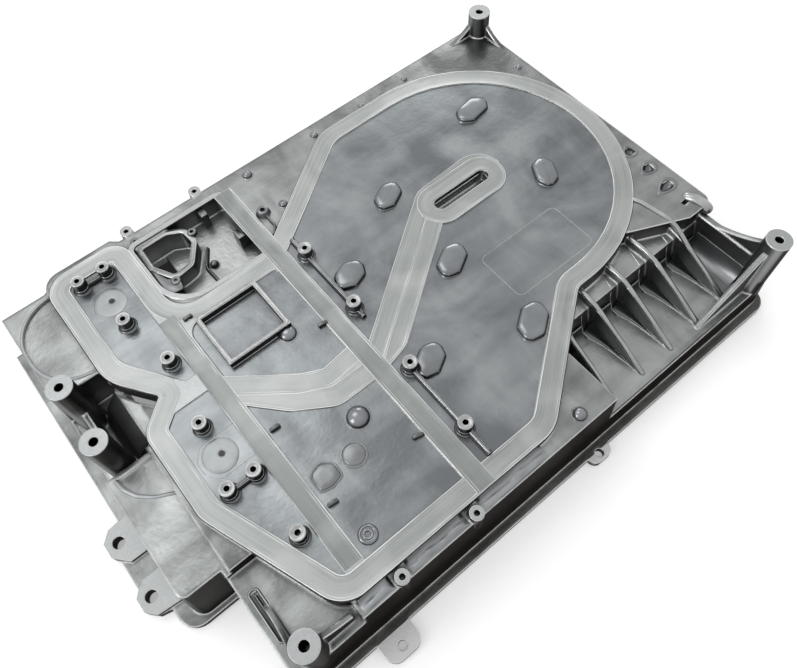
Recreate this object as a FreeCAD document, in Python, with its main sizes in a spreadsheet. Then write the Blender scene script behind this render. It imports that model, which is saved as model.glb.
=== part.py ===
import FreeCAD, Part
import math
import os

import Sketcher
from FreeCAD import Vector

# Liquid cooling plate: a die-cast aluminium tray, open below, whose deck carries coolant channels.
# A cast cover closes the channels; it is stir-welded in along its rim and over the dividing walls.
# Frame: X along the long side, Y across, Z up; the origin is at the middle of the box that
# encloses the part, on the plane of the bottom flange. Millimetres.

SIZES = {
    # overall envelope and levels above the flange plane
    "overall_length": 520,
    "overall_width": 391,
    "land_level": 70,
    "strip_drop": 1.5,
    "deck_drop": 8,
    "box_drop": 15,
    "corner_drop": 20,
    "step_drop": 16,
    "right_corner_drop": 22,
    "shelf_level": 31,
    "alcove_level": 28,
    "post_rise": 20,
    # tray wall, flange and draft
    "wall_draft": 4,
    "wall_thickness": 4,
    "flange_thickness": 6,
    "lug_thickness": 10,
    "recess_depth": 2,
    # channel, cover and weld bands
    "cover_thickness": 4,
    "skin_drop": 1,
    "channel_depth": 8,
    "seam_gap": 0.05,
    # bosses and holes
    "mount_post_radius": 9.5,
    "mount_thread_radius": 3.4,
    "mount_thread_depth": 22,
    "stud_radius": 5.3,
    "stud_rise": 10,
    "stud_thread_radius": 2.1,
    "stud_thread_depth": 9,
    "ear_radius": 5,
    "ear_hole_depth": 7,
    "tab_hole_radius": 3.3,
    "lug_hole_radius": 4.5,
    "rib_thickness": 4,
    "rib_pitch": 31.8,
    "pad_rise": 2.5,
    "frame_rise": 5,
    # coolant pipes below the deck
    "pipe_radius": 8,
    "pipe_root_radius": 7,
    "pipe_bore_radius": 5.5,
    "pipe_engagement": 12,
    "pipe_reach": 24,
    "pipe_gap": 0.02,
    "port_wall": 4,
}

# Plan positions are measured from a datum at the front left; this is where the frame's origin
# lies from it, and the envelope they are drawn for. They stretch with the overall sizes.
ORIGIN_X, ORIGIN_Y = 149.5, 231
DRAWN_LENGTH, DRAWN_WIDTH = 520, 391

doc = FreeCAD.newDocument("cooling_plate")
sheet = doc.addObject("Spreadsheet::Sheet", "Sizes")
for row, (alias, value) in enumerate(SIZES.items(), start=1):
    sheet.set(f"A{row}", alias)
    sheet.set(f"B{row}", str(value))
    sheet.setAlias(f"B{row}", alias)
doc.recompute()


def size(alias):
    return float(sheet.get(alias))


STRETCH_X = size("overall_length") / DRAWN_LENGTH
STRETCH_Y = size("overall_width") / DRAWN_WIDTH
STRETCH_R = min(STRETCH_X, STRETCH_Y)

# levels, as expressions of the driving sizes
GROUND = "0"
LAND = "Sizes.land_level"
STRIP = "Sizes.land_level - Sizes.strip_drop"
DECK = "Sizes.land_level - Sizes.deck_drop"
BOX = "Sizes.land_level - Sizes.box_drop"
CORNER = "Sizes.land_level - Sizes.corner_drop"
RIGHT_CORNER = "Sizes.land_level - Sizes.right_corner_drop"
ALCOVE = "Sizes.alcove_level"
POST_TOP = "Sizes.land_level + Sizes.post_rise"
SKIN = "Sizes.land_level - Sizes.skin_drop"
SEAT = "Sizes.land_level - Sizes.cover_thickness"
CHANNEL = "Sizes.land_level - Sizes.cover_thickness - Sizes.channel_depth"
CEILING = CHANNEL + " - Sizes.wall_thickness"
PIPE_TOP = CHANNEL + " - 2"
PORT_BOTTOM = PIPE_TOP + " - Sizes.pipe_engagement"
PIPE_END = PORT_BOTTOM + " - Sizes.pipe_reach"
ABOVE = POST_TOP + " + 10"
BELOW = "-5"


# Outlines


def at(x, y):
    """Point of the frame for a plan position measured from the datum."""
    return Vector((x - ORIGIN_X) * STRETCH_X, (y - ORIGIN_Y) * STRETCH_Y, 0)


def unit(dx, dy):
    length = math.hypot(dx, dy)
    return dx / length, dy / length


def offset(corners, distance):
    """The corners of an outline moved outward by a distance, radii following."""
    count = len(corners)
    area = 0
    for i in range(count):
        area += corners[i - 1][0] * corners[i][1] - corners[i][0] * corners[i - 1][1]
    side = 1 if area > 0 else -1
    moved = []
    for i in range(count):
        x, y, radius = corners[i]
        ux, uy = unit(x - corners[i - 1][0], y - corners[i - 1][1])
        ahead = corners[(i + 1) % count]
        vx, vy = unit(ahead[0] - x, ahead[1] - y)
        reach = side * distance / (1 + ux * vx + uy * vy)
        convex = side * (ux * vy - uy * vx) > 0
        grown = max(radius + (distance if convex else -distance), 0) if radius else 0
        moved.append((x + (uy + vy) * reach, y - (ux + vx) * reach, grown))
    return moved


def outline(corners):
    """Lines and tangent arcs through corners, each (x, y, radius); radius 0 is a sharp corner."""
    rounded = []
    count = len(corners)
    for i, (x, y, radius) in enumerate(corners):
        corner = at(x, y)
        if radius < 0.05:
            rounded.append((corner, None, corner))
            continue
        back = (at(*corners[i - 1][:2]) - corner).normalize()
        ahead = (at(*corners[(i + 1) % count][:2]) - corner).normalize()
        half = back.getAngle(ahead) / 2
        radius *= STRETCH_R
        inward = (back + ahead).normalize()
        middle = corner + inward * (radius / math.sin(half) - radius)
        reach = radius / math.tan(half)
        rounded.append((corner + back * reach, middle, corner + ahead * reach))
    edges = []
    for i, (start, middle, end) in enumerate(rounded):
        if middle:
            edges.append(Part.Arc(start, middle, end))
        following = rounded[(i + 1) % count][0]
        if (following - end).Length > 1e-4:
            edges.append(Part.LineSegment(end, following))
    return edges


def squared(corners, largest):
    """The same corners without the roundings up to a radius."""
    return [(x, y, radius if radius > largest else 0) for x, y, radius in corners]


def bar(x0, y0, x1, y1, width):
    """Outline of a straight bar between two points."""
    ux, uy = unit(x1 - x0, y1 - y0)
    dx, dy = -uy * width / 2, ux * width / 2
    return [(x0 - dx, y0 - dy, 0), (x1 - dx, y1 - dy, 0), (x1 + dx, y1 + dy, 0), (x0 + dx, y0 + dy, 0)]


def octagon(x, y, reach):
    """Outline of an eight-sided boss, with its flats at a reach from the middle."""
    flat = reach * math.tan(math.pi / 8)
    return [
        (x + reach, y + flat, 0),
        (x + flat, y + reach, 0),
        (x - flat, y + reach, 0),
        (x - reach, y + flat, 0),
        (x - reach, y - flat, 0),
        (x - flat, y - reach, 0),
        (x + flat, y - reach, 0),
        (x + reach, y - flat, 0),
    ]


def turned_pad(x, y, length, width, turn):
    """Outline of an elongated pad with cut corners, turned about its middle."""
    cos, sin = math.cos(math.radians(turn)), math.sin(math.radians(turn))
    cut_off = width * 0.36
    corners = []
    for u, v in ((-1, -1), (1, -1), (1, 1), (-1, 1)):
        ends = [(length / 2, width / 2 - cut_off), (length / 2 - cut_off, width / 2)]
        if u * v < 0:
            ends.reverse()
        for du, dv in ends:
            du, dv = u * du, v * dv
            corners.append((x + du * cos - dv * sin, y + du * sin + dv * cos, 0))
    return corners


# Features


def origin_plane(body, role):
    return next(f for f in body.Origin.OriginFeatures if f.Role == role)


def new_sketch(body, name, role="XY_Plane", level=GROUND):
    sketch = body.newObject("Sketcher::SketchObject", name + "_sketch")
    sketch.AttachmentSupport = [(origin_plane(body, role), "")]
    sketch.MapMode = "FlatFace"
    sketch.setExpression("AttachmentOffset.Base.z", level)
    return sketch


def draw(sketch, outlines=(), circles=(), radius=None):
    """Closed outlines and a set of equal circles whose radius follows an expression."""
    for corners in outlines:
        for edge in outline(corners):
            sketch.addGeometry(edge, False)
    first = None
    for x, y in circles:
        index = sketch.addGeometry(Part.Circle(at(x, y), Vector(0, 0, 1), 1), False)
        if first is None:
            first = index
            number = sketch.addConstraint(Sketcher.Constraint("Radius", index, 1))
            sketch.setExpression(f"Constraints[{number}]", radius)
        else:
            sketch.addConstraint(Sketcher.Constraint("Equal", first, index))


def finish(body, feature, sketch):
    sketch.Visibility = False
    doc.recompute()
    if feature.State != ["Up-to-date"] or feature.Shape.isNull():
        raise ValueError(f"{feature.Name} is not sound: {feature.State}")
    if len(body.Shape.Solids) != 1:
        raise ValueError(f"{feature.Name} leaves {len(body.Shape.Solids)} solids in {body.Label}")
    return feature


def add(body, name, bottom, top, outlines=(), circles=(), radius=None, draft=None):
    """Material between two levels."""
    sketch = new_sketch(body, name, level=bottom)
    draw(sketch, outlines, circles, radius)
    pad = body.newObject("PartDesign::Pad", name)
    pad.Profile = sketch
    pad.setExpression("Length", f"({top}) - ({bottom})")
    if draft:
        pad.setExpression("TaperAngle", draft)
    return finish(body, pad, sketch)


def cut(body, name, bottom, top, outlines=(), circles=(), radius=None, draft=None):
    """A recess between two levels, sunk from the upper one."""
    before = body.Shape.Volume
    sketch = new_sketch(body, name, level=top)
    draw(sketch, outlines, circles, radius)
    pocket = body.newObject("PartDesign::Pocket", name)
    pocket.Profile = sketch
    pocket.setExpression("Length", f"({top}) - ({bottom})")
    if draft:
        pocket.setExpression("TaperAngle", draft)
    finish(body, pocket, sketch)
    if body.Shape.Volume >= before - 1e-3:
        raise ValueError(f"{name} removes nothing")
    return pocket


def upright(body, name, role, place, points, thickness, kind="PartDesign::Pad"):
    """A plate or groove with a profile standing on the XZ or YZ plane, centred on a place.

    Points are (along, up). (None, sag) between two of them makes the run between them an arc
    whose middle lies that far below the chord.
    """
    before = body.Shape.Volume
    sketch = new_sketch(body, name, role, place)
    corners = [p for p in points if p[0] is not None]
    sags = {}
    number = -1
    for p in points:
        if p[0] is None:
            sags[number] = p[1]
        else:
            number += 1
    for i, start in enumerate(corners):
        end = corners[(i + 1) % len(corners)]
        a, b = Vector(*start, 0), Vector(*end, 0)
        if i in sags:
            middle = (a + b) * 0.5 - Vector(0, sags[i], 0)
            sketch.addGeometry(Part.Arc(a, middle, b), False)
        else:
            sketch.addGeometry(Part.LineSegment(a, b), False)
    feature = body.newObject(kind, name)
    feature.Profile = sketch
    feature.setExpression("Length", thickness)
    feature.Midplane = True
    finish(body, feature, sketch)
    change = body.Shape.Volume - before
    if (change <= 1e-3) == (kind == "PartDesign::Pad"):
        raise ValueError(f"{name} changes nothing")
    return feature


# Plan of the part

# the line where cover and casting meet, middle of the rim weld
SEAM = [
    (1.6, 82, 16),
    (170, 82, 25),
    (262, 150, 20),
    (393, 150, 117),
    (393, 384, 117),
    (212, 384, 30),
    (106, 310, 10),
    (18, 310, 28),
    (18, 399, 9),
    (-35, 399, 12),
    (-35, 305, 30),
    (-12, 272, 5),
    (-12, 264, 5),
    (-34, 246, 10),
    (-34, 178, 20),
]
HALF_BAND = 7.5

# floors of the flow regions between the weld bands
RIGHT_REGION = [
    (119.5, 88, 0),
    (165, 88, 17),
    (258, 157.5, 27),
    (385.5, 157.5, 109.5),
    (385.5, 376.5, 109.5),
    (215, 376.5, 22),
    (119.5, 311, 0),
    (119.5, 207.5, 0),
    (232, 288.5, 15),
    (302, 292, 20),
    (302, 250, 20),
    (263, 250, 0),
    (248, 255, 0),
    (228, 252, 0),
    (138, 187.5, 15),
    (119.5, 183, 0),
]
UPPER_MIDDLE_REGION = [(24, 251, 0), (78, 210.5, 15), (104, 214, 0), (104, 302.5, 4), (24, 302.5, 12)]
LOWER_MIDDLE_REGION = [
    (24, 89, 0),
    (104, 89, 0),
    (104, 181, 0),
    (74, 181, 15),
    (46, 199, 10),
    (24, 228, 0),
]
UPPER_LEFT_REGION = [(-28.5, 392, 8), (-28.5, 312, 35), (1, 266, 5), (10, 266, 0), (10, 392, 8)]
LOWER_LEFT_REGION = [(-26.5, 250, 8), (-26.5, 178, 20), (4.5, 89, 0), (10, 89, 0), (10, 250, 0)]
REGIONS = [
    RIGHT_REGION,
    UPPER_MIDDLE_REGION,
    LOWER_MIDDLE_REGION,
    UPPER_LEFT_REGION,
    LOWER_LEFT_REGION,
]

# openings that lead the coolant from one region to the next, under the dividing bands
GATES = [
    [(6, 280, 0), (28, 280, 0), (28, 296, 0), (6, 296, 0)],
    [(100, 282, 0), (124, 282, 0), (124, 298, 0), (100, 298, 0)],
    [(100, 100, 0), (124, 100, 0), (124, 116, 0), (100, 116, 0)],
    [(6, 106, 0), (28, 106, 0), (28, 122, 0), (6, 122, 0)],
]

SLOT = [(233.7, 261.5, 5.45), (288, 261.5, 5.45), (288, 272.5, 5.45), (233.7, 272.5, 5.45)]
WELL = [(28, 392.5, 5), (28, 323, 28), (110, 321, 5), (110, 392.5, 5)]
DUCT = [
    (34, 388.5, 0),
    (33, 368, 0),
    (42, 351, 4),
    (56, 353, 4),
    (68, 369, 4),
    (67, 382, 4),
    (56, 388.5, 0),
]
DUCT_SLOT = [(34.5, 387, 0), (33.5, 368, 0), (40.5, 354, 0), (46.5, 354, 0), (46.5, 387, 0)]

MOUNT_POSTS = [(396.7, 397), (390.1, 70.5), (-32.3, 70.5), (-67.2, 306.2), (-67.2, 256)]
STUDS = [
    (128.7, 297),
    (128.4, 235.8),
    (128.2, 171.8),
    (127.8, 114.3),
    (1.9, 383.7),
    (-18.7, 384.4),
    (-7.9, 332.9),
    (1, 284.5),
    (-7.6, 228.5),
    (2.5, 178),
    (-17.6, 178.3),
    (1.2, 126.8),
]
STUD_RIBS = [
    (128.2, 313, 128.8, 228, 2.6),
    (128.2, 172, 128.2, 92, 2.6),
    (1.9, 383.7, -18.7, 384.4, 2.6),
    (2.5, 178, -17.6, 178.3, 2.6),
]
# raised pads on the cover: middle, length, width, turn in degrees
PADS = [
    (325.2, 326, 31, 18, 10),
    (211.9, 300.6, 27, 17, 28),
    (323.2, 236.1, 28, 17, 62),
    (143, 260.7, 26, 19, 20),
    (210, 220.8, 30, 18, 30),
    (219.1, 143.3, 31, 19, 35),
    (142.6, 167.5, 27, 18, 30),
]
FRAME = [(32, 253.5, 0), (84.3, 253.5, 0), (84.3, 301.8, 0), (32, 301.8, 0)]
EARS = [(35, 67.2), (95.6, 66.9), (33, 410), (95.7, 409)]
PORTS = [(-9, 358), (-9, 204)]
LUG_HOLES = [(-101.4, 223.3), (-101.4, 176.3)]
TAB_HOLES = [(12.5, 43), (209, 51.5), (12, 421)]

# lugs on the left edge
REAR_LUG = [
    (-84, 238, 0),
    (-103, 236, 0),
    (-110.5, 229, 0),
    (-110.5, 217, 0),
    (-107, 213, 0),
    (-101, 206, 0),
    (-84, 206, 0),
]
FRONT_LUG = [
    (-84, 190, 0),
    (-101, 190, 0),
    (-107, 185, 0),
    (-110.5, 181, 0),
    (-110.5, 170, 0),
    (-104, 163, 0),
    (-84, 161, 0),
]

# recesses of the cast decks: half disc, quarter disc, groove, and drops beside the round jacket
PLATEAU_RECESS = [(-42.6, 321, 0), (-79, 321, 36.3), (-79, 401, 36.3), (-42.6, 401, 0)]
BOX_RECESS = [
    (-44.5, 241.5, 0),
    (-44.5, 207, 0),
    (-59, 214.5, 0),
    (-68, 223, 0),
    (-73, 233, 0),
    (-74, 241.5, 0),
]
CORNER_GROOVE = bar(-42.2, 122.5, -42.2, 88.5, 5)
STRIP_RECESSES = [
    bar(391, 210.5, 391.5, 203.5, 8),
    bar(384.5, 185.5, 393, 184.5, 8),
    bar(379.5, 164, 391.5, 162.5, 8),
    bar(381.5, 143.5, 393.5, 144, 3.5),
]

FLANGE = [
    (-55, 53, 4),
    (-1, 53, 0),
    (-1, 35.5, 8),
    (26, 35.5, 8),
    (26, 53, 0),
    (199, 53, 0),
    (199, 46, 6),
    (219, 46, 6),
    (219, 53, 0),
    (409.5, 53, 14),
    (409.5, 415, 0),
    (28, 415, 0),
    (22, 426.5, 0),
    (2, 426.5, 0),
    (-4, 420, 0),
    (-36, 420, 0),
    (-44, 414, 0),
    (-95, 414, 0),
    (-95, 238, 0),
    (-103, 236, 0),
    (-110.5, 229, 0),
    (-110.5, 217, 0),
    (-107, 213, 0),
    (-107, 185, 0),
    (-110.5, 181, 0),
    (-110.5, 170, 0),
    (-104, 163, 0),
    (-95, 161, 0),
    (-95, 138.5, 14),
    (-55, 138.5, 0),
]
WALL_FOOT = [
    (-54, 60, 8),
    (407, 60, 8),
    (407, 410.5, 8),
    (24, 410.5, 0),
    (14, 416.5, 0),
    (-32, 416.5, 0),
    (-46, 409.5, 0),
    (-84.5, 409.5, 0),
    (-84, 142, 10),
    (-54, 142, 0),
]
CAVITY_LOW = [(-46, 68, 0), (399, 68, 0), (399, 402, 0), (-76, 402, 0), (-76, 150, 0), (-46, 150, 0)]
CAVITY_HIGH = [
    (0, 81, 0),
    (168, 81, 25),
    (262, 149, 20),
    (394, 149, 115),
    (394, 397, 0),
    (-72, 401, 0),
    (-72, 324, 0),
    (-37, 324, 0),
    (-37, 178, 0),
]

# Housing casting

casting = doc.addObject("PartDesign::Body", "housing_casting")

FLANGE_TOP = "Sizes.flange_thickness"
LUG_TOP = "Sizes.lug_thickness"
add(casting, "flange", GROUND, FLANGE_TOP, [FLANGE])
cut(casting, "tab_holes", BELOW, FLANGE_TOP, circles=TAB_HOLES, radius="Sizes.tab_hole_radius")
add(casting, "lugs", GROUND, LUG_TOP, [REAR_LUG, FRONT_LUG])
cut(casting, "lug_holes", BELOW, LUG_TOP, circles=LUG_HOLES, radius="Sizes.lug_hole_radius")
add(casting, "tray_wall", GROUND, DECK, [WALL_FOOT], draft="-Sizes.wall_draft")

ALCOVE_PLAN = [(-100, 245, 0), (-42, 245, 4), (-42, 318, 4), (-100, 318, 0)]
BOX_PLAN = [(-100, 120, 0), (-46, 120, 0), (-46, 245, 0), (-100, 245, 0)]
CORNER_PLAN = [(-70, 40, 0), (2, 40, 0), (2, 78, 0), (-26, 140, 0), (-70, 140, 0)]
cut(casting, "alcove", ALCOVE, ABOVE, [ALCOVE_PLAN])
cut(casting, "box_top", BOX, ABOVE, [BOX_PLAN])
cut(casting, "corner_plate", CORNER, ABOVE, [CORNER_PLAN])
RIGHT_CORNER_PLAN = [(393.5, 40, 0), (420, 40, 0), (420, 131, 0), (393.5, 131, 0)]
cut(casting, "right_corner", RIGHT_CORNER, ABOVE, [RIGHT_CORNER_PLAN])

flank_left, flank_right = 224, 388
flank = [
    (at(0, 40).y, size("land_level") + 20),
    (at(0, 40).y, size("shelf_level")),
    (at(0, 124).y, size("shelf_level")),
    (at(0, 130).y, size("land_level") - size("step_drop")),
    (at(0, 226).y, size("land_level") - size("step_drop")),
    (at(0, 226).y, size("land_level") + 20),
]
upright(
    casting,
    "flank_shelf",
    "YZ_Plane",
    str((at(flank_left, 0).x + at(flank_right, 0).x) / 2),
    flank,
    str(at(flank_right, 0).x - at(flank_left, 0).x),
    "PartDesign::Pocket",
)

# sloping ledge of the alcove, with the pocket between it and the jacket
land = size("land_level")
ledge = [
    (at(-20, 0).x, land - 2),
    (at(-25, 0).x, land - 3),
    (at(-39, 0).x, land - 12),
    (at(-54, 0).x, land - 29),
    (at(-61, 0).x, land - 41),
    (at(-61, 0).x, land - 46),
    (at(-20, 0).x, land - 46),
]
upright(casting, "alcove_ledge", "XZ_Plane", str(-at(0, 278).y), ledge, str(49 * STRETCH_Y))
LEDGE_POCKET = [(-44, 303.5, 0), (-40.5, 291, 0), (-25, 265, 0), (-19, 269, 0), (-35, 303.5, 0)]
cut(casting, "ledge_pocket", ALCOVE + " + 26", LAND, [LEDGE_POCKET])

JACKET = offset(SEAM, HALF_BAND)
add(casting, "jacket", ALCOVE, LAND, [JACKET])
STRIP_PLAN = [
    (-42, 380, 0),
    (12, 300, 0),
    (376, 131, 0),
    (402, 131, 8),
    (402, 406, 6),
    (24, 406, 0),
    (18, 411.5, 0),
    (-42, 411.5, 14),
]
add(casting, "strip", ALCOVE, STRIP, [STRIP_PLAN])
CHANNEL_BAND = [(104, 300, 0), (119.5, 300, 0), (119.5, 393, 0), (104, 393, 0)]
add(casting, "channel_band", ALCOVE, LAND, [CHANNEL_BAND])
EAR_HOLE_END = LAND + " - Sizes.ear_hole_depth"
THREAD_END = POST_TOP + " - Sizes.mount_thread_depth"
add(casting, "ears", CORNER, LAND, circles=EARS, radius="Sizes.ear_radius")
cut(casting, "ear_holes", EAR_HOLE_END, ABOVE, circles=EARS, radius="Sizes.stud_thread_radius")
add(casting, "mount_posts", ALCOVE, POST_TOP, circles=MOUNT_POSTS, radius="Sizes.mount_post_radius")
cut(casting, "mount_threads", THREAD_END, ABOVE, circles=MOUNT_POSTS, radius="Sizes.mount_thread_radius")

# gusset ribs on the flank below the round jacket
shelf = size("shelf_level")
gusset = [
    (at(0, 68).y, shelf - 3),
    (at(0, 71).y, shelf),
    (at(0, 121).y, land - 12),
    (at(0, 140).y, land - 8),
    (at(0, 215).y, land - 8),
    (at(0, 215).y, shelf - 3),
]
first_rib = upright(casting, "gusset_rib", "YZ_Plane", str(at(236.6, 0).x), gusset, "Sizes.rib_thickness")
ribs = casting.newObject("PartDesign::LinearPattern", "gusset_ribs")
ribs.Originals = [first_rib]
ribs.Direction = (origin_plane(casting, "X_Axis"), [""])
ribs.Occurrences = 5
ribs.setExpression("Length", f"4 * Sizes.rib_pitch * {STRETCH_X}")
casting.Tip = ribs
doc.recompute()

# fins that brace the tall mount posts
rise = size("post_rise")


def fin(name, role, place, near, far, top, low, sag, root, thickness="Sizes.rib_thickness"):
    """A brace standing from a post (near, top) down to the deck (far, low)."""
    points = [(near, root), (far, root), (far, low), (None, sag), (near, top)]
    upright(casting, name, role, place, points, thickness)


def xz(y):
    return str(-at(0, y).y)


def yz(x):
    return str(at(x, 0).x)


far_top = land + rise - 8
fin("far_post_fin_x", "XZ_Plane", xz(400), at(392, 0).x, at(352, 0).x, far_top, land - 2, 5, land - 12)
fin("far_post_fin_y", "YZ_Plane", yz(399), at(0, 392).y, at(0, 352).y, far_top, land - 2, 5, land - 12)
fin("right_post_fin_y", "YZ_Plane", yz(391), at(0, 76).y, at(0, 134).y, land + 11, land - 11, 5, shelf - 6)
fin("right_post_fin_x", "XZ_Plane", xz(71), at(384, 0).x, at(328, 0).x, land + 14, shelf + 1, 1, shelf - 6)
fin("near_post_fin_x", "XZ_Plane", xz(71), at(-28, 0).x, at(-2, 0).x, land + 12, land - 7, 4, land - 26)
fin("near_post_fin_y", "YZ_Plane", yz(-40), at(0, 75).y, at(0, 112).y, land + 10, land - 20, 6, land - 26)
fin("left_posts_rib", "YZ_Plane", yz(-67), at(0, 256).y, at(0, 306).y, land - 10, land - 10, 1, 24)

# shallow recesses of the cast decks
cut(casting, "plateau_recess", DECK + " - Sizes.recess_depth", DECK, [PLATEAU_RECESS])
cut(casting, "box_recess", BOX + " - Sizes.recess_depth", BOX, [BOX_RECESS])
cut(casting, "corner_groove", CORNER + " - Sizes.recess_depth", CORNER, [CORNER_GROOVE])
cut(casting, "strip_recesses", STRIP + " - 2 * Sizes.recess_depth", STRIP, STRIP_RECESSES)

# hollow below the deck
cut(casting, "cavity_low", BELOW, ALCOVE + " - Sizes.wall_thickness", [CAVITY_LOW])
cut(casting, "cavity_high", BELOW, CEILING, [CAVITY_HIGH])
BOX_CAVITY = [(-72, 154, 0), (-30, 154, 0), (-30, 238, 0), (-72, 238, 0)]
cut(casting, "cavity_box", BELOW, BOX + " - Sizes.wall_thickness", [BOX_CAVITY])
CORNER_CAVITY = [(-43, 72, 0), (-10, 72, 0), (-30, 132, 0), (-43, 132, 0)]
cut(casting, "cavity_corner", BELOW, CORNER + " - Sizes.wall_thickness", [CORNER_CAVITY])

# well at the far side with the duct that opens through the tray
add(casting, "well_body", "Sizes.land_level - 22", LAND, [offset(WELL, 4)])
cut(casting, "well", "Sizes.land_level - 18", ABOVE, [WELL])
add(casting, "duct_wall", "Sizes.land_level - 30", "Sizes.land_level - 3", [offset(DUCT, 4)])
cut(casting, "duct", "Sizes.land_level - 24", ABOVE, [DUCT])
cut(casting, "duct_slot", BELOW, ABOVE, [DUCT_SLOT])

# coolant channels and the seat of the cover
cut(casting, "cover_seat", SEAT, ABOVE, [SEAM])
channels = [offset(squared(region, 40), -1.5) for region in REGIONS]
cut(casting, "channels", CHANNEL, ABOVE, channels + [offset(squared(SLOT, 40), -0.5)])
cut(casting, "gates", CHANNEL, SEAT, GATES)

# port bosses and bores
boss_reach = size("pipe_root_radius") + size("port_wall")
add(casting, "port_bosses", PORT_BOTTOM, CHANNEL, [octagon(x, y, boss_reach) for x, y in PORTS])
PORT_SEAT = "Sizes.pipe_root_radius + Sizes.pipe_gap"
cut(casting, "port_seats", BELOW, PIPE_TOP, circles=PORTS, radius=PORT_SEAT)
cut(casting, "port_bores", BELOW, SEAT, circles=PORTS, radius="Sizes.pipe_bore_radius")


# Channel cover

cover = doc.addObject("PartDesign::Body", "channel_cover")
add(cover, "cover_plate", SEAT, LAND, [offset(SEAM, -size("seam_gap"))])
cut(cover, "floors", SKIN, ABOVE, REGIONS)
add(cover, "studs", SEAT, LAND + " + Sizes.stud_rise", circles=STUDS, radius="Sizes.stud_radius")
add(cover, "stud_ribs", SKIN, LAND + " + 2.5", [bar(*ends) for ends in STUD_RIBS])
add(cover, "pads", SKIN, SKIN + " + Sizes.pad_rise", [turned_pad(*pad) for pad in PADS])
add(cover, "frame_ring", SKIN, LAND + " + Sizes.frame_rise", [FRAME, offset(FRAME, -3.5)])
STUD_THREAD_END = LAND + " + Sizes.stud_rise - Sizes.stud_thread_depth"
cut(cover, "stud_threads", STUD_THREAD_END, ABOVE, circles=STUDS, radius="Sizes.stud_thread_radius")
cut(cover, "slot", SEAT + " - 1", ABOVE, [SLOT])

# Coolant pipes

for name, (x, y) in zip(("inlet_pipe", "outlet_pipe"), PORTS):
    pipe = doc.addObject("PartDesign::Body", name)
    add(pipe, name + "_root", PIPE_END, PIPE_TOP, circles=[(x, y)], radius="Sizes.pipe_root_radius")
    add(pipe, name + "_tube", PIPE_END, PORT_BOTTOM, circles=[(x, y)], radius="Sizes.pipe_radius")
    cut(pipe, name + "_bore", BELOW, ABOVE, circles=[(x, y)], radius="Sizes.pipe_bore_radius")

# Checks and export

doc.recompute()
os.makedirs("parts", exist_ok=True)
for body in doc.Objects:
    if "Invalid" in body.State or "Error" in body.State:
        raise ValueError(f"{body.Name} is {body.State}")
for body in doc.findObjects("PartDesign::Body"):
    if body.Shape.isNull() or not body.Shape.isValid():
        raise ValueError(f"{body.Label} has no sound shape")
    body.Shape.exportStep(f"parts/{body.Label}.step")
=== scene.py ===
import math

import bmesh
import bpy
from mathutils import Matrix, Vector


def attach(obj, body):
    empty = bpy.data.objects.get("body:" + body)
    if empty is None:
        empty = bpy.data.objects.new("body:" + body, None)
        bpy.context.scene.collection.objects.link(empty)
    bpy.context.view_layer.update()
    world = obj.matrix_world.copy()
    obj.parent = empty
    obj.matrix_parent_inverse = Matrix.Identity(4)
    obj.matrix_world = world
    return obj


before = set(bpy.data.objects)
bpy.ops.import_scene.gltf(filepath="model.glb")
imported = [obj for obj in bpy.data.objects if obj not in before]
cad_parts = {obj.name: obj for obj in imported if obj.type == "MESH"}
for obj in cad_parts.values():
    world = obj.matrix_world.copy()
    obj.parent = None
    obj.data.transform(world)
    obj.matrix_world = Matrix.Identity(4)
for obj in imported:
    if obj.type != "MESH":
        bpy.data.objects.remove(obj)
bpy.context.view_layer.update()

MM = 0.001
ORIGIN = (149.5, 231.0)   # the frame's origin, from the datum that plan positions are measured from
BAND = 15.0               # width of a weld band

# levels above the flange plane
POST_TOP = 90.0           # tall posts
STUD_TOP = 80.0           # small threaded posts of the cover
FRAME_TOP = 75.0          # square frame on the cover
LAND = 70.0               # weld bands
FLOOR = 69.0              # the cover's floors
STRIP = 68.5              # cast strip around the jacket
DECK = 62.0               # plateau at the left and strip along the near side
BOX = 55.0                # box at the left
BENCH = 54.0              # bench above the gusset ribs
WELL = 52.0               # floor of the well
CORNER = 50.0             # near-left corner plate
RIGHT_CORNER = 48.0       # near-right corner plate
SHELF = 31.0              # shelf between the gusset ribs
LUG_TOP = 10.0            # lugs beside the box
FLANGE_TOP = 6.0          # flange and its tabs

# middle line of the rim weld, corners with radii
SEAM = [
    (1.6, 82, 16), (170, 82, 25), (262, 150, 20), (393, 150, 117), (393, 384, 117), (212, 384, 30),
    (106, 310, 10), (18, 310, 28), (18, 399, 9), (-35, 399, 12), (-35, 305, 30), (-12, 272, 5),
    (-12, 264, 5), (-34, 246, 10), (-34, 178, 20),
]
STUDS = [
    (128.7, 297), (128.4, 235.8), (128.2, 171.8), (127.8, 114.3), (1.9, 383.7), (-18.7, 384.4),
    (-7.9, 332.9), (1, 284.5), (-7.6, 228.5), (2.5, 178), (-17.6, 178.3), (1.2, 126.8),
]
# deep places given painted light: share, then low x, low y, high x, high y
LIT_HOLLOWS = [
    (0.3, -80, 246, -20, 319), (0.34, 27, 320, 111, 394), (0.3, 224, 122.5, 392, 151),
    (0.85, 231, 259, 291, 275), (0.14, 224, 67, 388, 122.5),
]
# plan rectangles, low x, low y, high x, high y: the near wall, its stretch that reaches the deck, the
# flange tabs
NEAR_WALL = (-60, 53.2, 412, 63.8)
NEAR_WALL_TOP = (2, 53.2, 224, 65.2)
FLANGE_TABS = (-5, 30, 225, 53.2)
# raised pads: middle, length, width, turn in degrees
PADS = [
    (325.2, 326, 31, 18, 10), (211.9, 300.6, 27, 17, 28), (323.2, 236.1, 28, 17, 62),
    (143, 260.7, 26, 19, 20), (210, 220.8, 30, 18, 30), (219.1, 143.3, 31, 19, 35),
    (142.6, 167.5, 27, 18, 30),
]


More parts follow.
